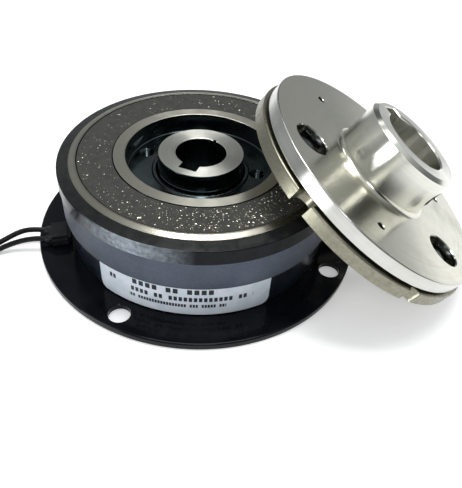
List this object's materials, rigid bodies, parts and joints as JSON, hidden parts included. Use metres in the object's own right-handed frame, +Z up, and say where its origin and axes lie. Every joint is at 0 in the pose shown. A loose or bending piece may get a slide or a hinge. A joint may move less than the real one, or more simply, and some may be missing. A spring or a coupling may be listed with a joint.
{
  "type": "electromagnetic clutch",
  "caption": "Flange-mounted electromagnetic clutch: round field with lead wires, keyed rotor with a friction face, and a sprung armature on a bossed hub that leans on it.",
  "frame": {"origin": "at the base, under the middle of the clutch's box, with the lead wires left out", "axes": "+Z up along the field's and rotor's axis, +X from the field towards the armature unit that leans on it"},
  "size_m": [0.1715, 0.1, 0.0498],
  "materials": {
    "flange_enamel": "glossy black enamel on pressed steel",
    "yoke_steel": "blue-black finish on turned steel",
    "label_film": "pale silver-blue printed film, left blank",
    "bobbin_nylon": "natural nylon",
    "winding_copper": "enamelled copper wire",
    "potting_resin": "black casting resin",
    "gland_rubber": "soft black rubber",
    "lead_insulation": "black PVC, semi-gloss",
    "rotor_steel": "black oxide, with the friction rings turned bright",
    "lining": "dark moulded friction material with bright metal chips",
    "rotor_hub_steel": "turned bright",
    "hub_steel": "finely turned, nearly mirror bright",
    "screw_steel": "black oxide",
    "armature_steel": "zinc plated, satin",
    "spring_steel": "rolled spring steel",
    "rivet_steel": "plated"
  },
  "bodies": {
    "stator": {"mounting_flange": "flange_enamel", "field_yoke": "yoke_steel", "coil_bobbin": "bobbin_nylon", "coil_winding": "winding_copper", "potting_ring": "potting_resin", "name_label": "label_film", "lead_gland": "gland_rubber", "lead_wire_1": "lead_insulation", "lead_wire_2": "lead_insulation", "lead_coil_1": "lead_insulation", "lead_coil_2": "lead_insulation"},
    "rotor": {"rotor_body": "rotor_steel", "rotor_hub": "rotor_hub_steel", "friction_lining": "lining"},
    "hub": {"armature_hub": "hub_steel", "set_screw_1": "screw_steel", "set_screw_2": "screw_steel", "leaf_spring_1": "spring_steel", "leaf_spring_2": "spring_steel", "leaf_spring_3": "spring_steel", "hub_rivet_1": "rivet_steel", "hub_rivet_2": "rivet_steel", "hub_rivet_3": "rivet_steel"},
    "armature": {"armature_plate": "armature_steel", "armature_rivet_1": "rivet_steel", "armature_rivet_2": "rivet_steel", "armature_rivet_3": "rivet_steel"}
  },
  "joints": [
    {"name": "rotor_spin", "type": "hinge", "parent": "stator", "child": "rotor", "pos_m": [-0.01724, 0, 0.014], "axis": [0, 0, 1], "continuous": true},
    {"name": "hub_spin", "type": "hinge", "parent": "stator", "child": "hub", "pos_m": [0.03052, -0.0032, 0.02191], "axis": [0.5446, 0, 0.8387], "continuous": true},
    {"name": "armature_pull", "type": "slide", "parent": "hub", "child": "armature", "axis": [-0.5446, 0, -0.8387], "range_m": [0, 0.0004], "stiffness_N_per_m": 9000, "springref_m": -0.00015}
  ]
}
